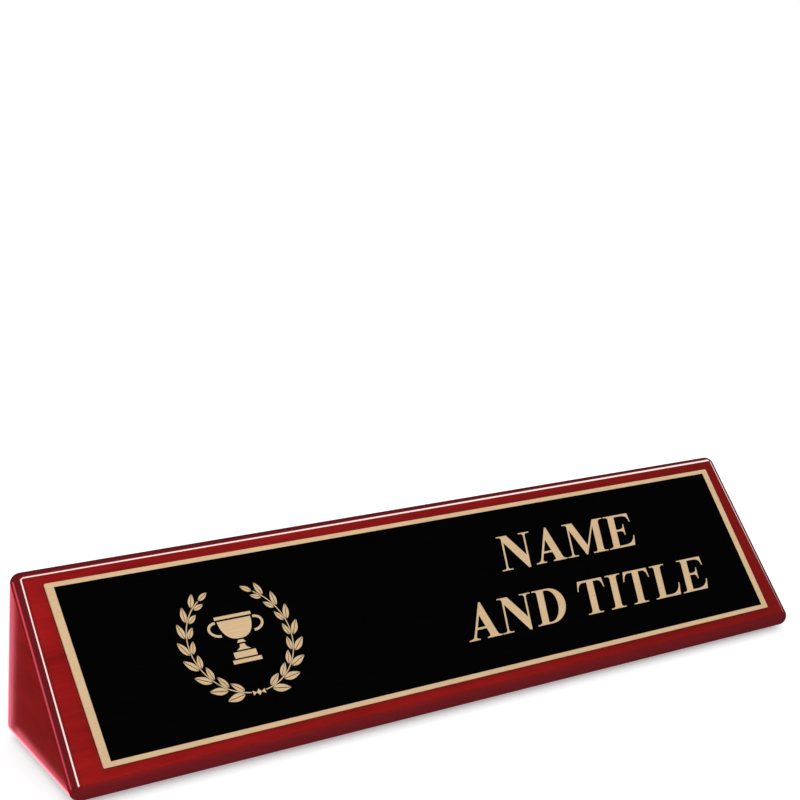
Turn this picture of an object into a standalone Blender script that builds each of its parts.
"""Desk name plate: a lacquered wooden wedge that carries an engraved brass plate on its sloping face.

Units are metres and +Z is up. The length runs along X and the sloping face looks towards -Y and up.
The origin is on the desk, under the middle of the wedge.
"""

import math

import bmesh
import bpy
from mathutils import Matrix, Vector

# Wedge, finished sizes
BODY_LENGTH = 0.250
BODY_DEPTH = 0.0455
BODY_HEIGHT = 0.0455
EDGE_RADIUS = 0.003
END_LEAN = 0.002  # each end leans in by this much from the base up to the ridge
ROUNDING_SEGMENTS = 32  # facets round a full turn of the rounded edges

# Engraved plate, a 9-1/8 by 2 inch sheet
PLATE_END_MARGIN = 0.0091  # from the ends of the wedge
PLATE_EDGE_MARGIN = 0.00253  # from the long edges of the flat of the sloping face
PLATE_THICKNESS = 0.0005
PLATE_CORNER_RADIUS = 0.0004
PLATE_CORNER_SEGMENTS = 3

# Double-sided tape under the plate
TAPE_WIDTH = 0.012
TAPE_THICKNESS = 0.00015
TAPE_END_INSET = 0.004  # from the ends of the plate
TAPE_EDGE_INSET = 0.003  # from the long edges of the plate

# Felt pads under the base
PAD_DIAMETER = 0.010
PAD_THICKNESS = 0.001
PAD_END_INSET = 0.012  # from the ends of the flat underside to a pad's edge
PAD_SIDE_INSET = 0.003  # from the long edges of the flat underside to a pad's edge
PAD_SEGMENTS = 48

SEAT_GAP = 0.0002  # between faces that are glued to each other

BODY_BOTTOM = PAD_THICKNESS + SEAT_GAP
FLAT_SLOPE = math.hypot(BODY_DEPTH - 2 * EDGE_RADIUS, BODY_HEIGHT - 2 * EDGE_RADIUS)
PLATE_LENGTH = BODY_LENGTH - 2 * PLATE_END_MARGIN
PLATE_WIDTH = FLAT_SLOPE - 2 * PLATE_EDGE_MARGIN


def make_material(name, colour, roughness, metallic=0.0):
    material = bpy.data.materials.new(name)
    material.use_nodes = True
    shader = material.node_tree.nodes["Principled BSDF"]
    shader.inputs["Base Color"].default_value = (*colour, 1.0)
    shader.inputs["Roughness"].default_value = roughness
    shader.inputs["Metallic"].default_value = metallic
    return material


def make_object(name, mesh_builder, material):
    """Link a new object whose mesh is what the builder leaves in the bmesh."""
    mesh = bpy.data.meshes.new(name)
    builder = bmesh.new()
    mesh_builder(builder)
    bmesh.ops.recalc_face_normals(builder, faces=builder.faces)
    builder.to_mesh(mesh)
    builder.free()
    mesh.materials.append(material)
    piece = bpy.data.objects.new(name, mesh)
    bpy.context.scene.collection.objects.link(piece)
    return piece


def rounding_centres():
    """Centres of the balls that round the six corners of the wedge."""
    end = BODY_LENGTH / 2 - EDGE_RADIUS
    ridge_end = end - END_LEAN
    front = -BODY_DEPTH / 2 + EDGE_RADIUS
    back = BODY_DEPTH / 2 - EDGE_RADIUS
    low = BODY_BOTTOM + EDGE_RADIUS
    high = BODY_BOTTOM + BODY_HEIGHT - EDGE_RADIUS
    for side in (-1, 1):
        yield Vector((side * end, front, low))
        yield Vector((side * end, back, low))
        yield Vector((side * ridge_end, back, high))


def build_wedge(builder):
    """The skin stretched over six balls: flat faces, with every edge and corner rounded alike."""
    for centre in rounding_centres():
        bmesh.ops.create_uvsphere(
            builder,
            u_segments=ROUNDING_SEGMENTS,
            v_segments=ROUNDING_SEGMENTS // 2,
            radius=EDGE_RADIUS,
            matrix=Matrix.Translation(centre),
        )
    hull = bmesh.ops.convex_hull(builder, input=builder.verts)
    bmesh.ops.delete(builder, geom=hull["geom_interior"], context="VERTS")
    skin = {element for element in hull["geom"] if element.is_valid}
    under_the_skin = [face for face in builder.faces if face not in skin]
    bmesh.ops.delete(builder, geom=under_the_skin, context="FACES")


def slope_frame():
    """Where things stuck on the sloping face sit: the middle of the face, with +Z out of it and +Y up it."""
    front, _, ridge = list(rounding_centres())[:3]
    up_the_slope = Vector((0, ridge.y - front.y, ridge.z - front.z)).normalized()
    outwards = Vector((0, -up_the_slope.z, up_the_slope.y))
    middle = Vector((0, (front.y + ridge.y) / 2, (front.z + ridge.z) / 2)) + outwards * EDGE_RADIUS
    return Matrix.Translation(middle) @ Matrix.Rotation(math.atan2(up_the_slope.z, up_the_slope.y), 4, "X")


def build_slab(length, width, thickness):
    """A builder for a flat slab whose underside is at z = 0, centred in x and y."""

    def build(builder):
        size = Matrix.Diagonal((length, width, thickness, 1))
        bmesh.ops.create_cube(builder, size=1, matrix=Matrix.Translation((0, 0, thickness / 2)) @ size)

    return build


def build_plate(builder):
    build_slab(PLATE_LENGTH, PLATE_WIDTH, PLATE_THICKNESS)(builder)
    corners = [edge for edge in builder.edges if edge.verts[0].co.z != edge.verts[1].co.z]
    bmesh.ops.bevel(
        builder,
        geom=corners,
        offset=PLATE_CORNER_RADIUS,
        segments=PLATE_CORNER_SEGMENTS,
        profile=0.5,
        affect="EDGES",
    )


def build_pad(builder):
    bmesh.ops.create_cone(
        builder,
        cap_ends=True,
        segments=PAD_SEGMENTS,
        radius1=PAD_DIAMETER / 2,
        radius2=PAD_DIAMETER / 2,
        depth=PAD_THICKNESS,
        matrix=Matrix.Translation((0, 0, PAD_THICKNESS / 2)),
    )


def make_wedge(material):
    wedge = make_object("wedge_body", build_wedge, material)
    wedge.data.shade_smooth()
    wedge.data.set_sharp_from_angle(angle=math.radians(30))
    return wedge


def make_tapes(material):
    length = PLATE_LENGTH - 2 * TAPE_END_INSET
    reach = PLATE_WIDTH / 2 - TAPE_EDGE_INSET - TAPE_WIDTH / 2
    for name, side in (("tape_strip_lower", -1), ("tape_strip_upper", 1)):
        tape = make_object(name, build_slab(length, TAPE_WIDTH, TAPE_THICKNESS), material)
        tape.matrix_world = slope_frame() @ Matrix.Translation((0, side * reach, SEAT_GAP))


def make_plate(material):
    plate = make_object("engraved_plate", build_plate, material)
    plate.matrix_world = slope_frame() @ Matrix.Translation((0, 0, TAPE_THICKNESS + 2 * SEAT_GAP))
    return plate


def make_pads(material):
    x_reach = BODY_LENGTH / 2 - EDGE_RADIUS - PAD_END_INSET - PAD_DIAMETER / 2
    y_reach = BODY_DEPTH / 2 - EDGE_RADIUS - PAD_SIDE_INSET - PAD_DIAMETER / 2
    for depth_name, y_side in (("front", -1), ("back", 1)):
        for end_name, x_side in (("left", -1), ("right", 1)):
            pad = make_object(f"felt_pad_{depth_name}_{end_name}", build_pad, material)
            pad.location = (x_side * x_reach, y_side * y_reach, 0)


def main():
    for old in list(bpy.data.objects):
        bpy.data.objects.remove(old)
    make_wedge(make_material("cherry_lacquer", (0.22, 0.012, 0.010), roughness=0.08))
    make_tapes(make_material("tape", (0.75, 0.73, 0.68), roughness=0.6))
    make_plate(make_material("black_coated_brass", (0.004, 0.004, 0.004), roughness=0.35, metallic=0.2))
    make_pads(make_material("felt", (0.01, 0.01, 0.01), roughness=0.95))


main()
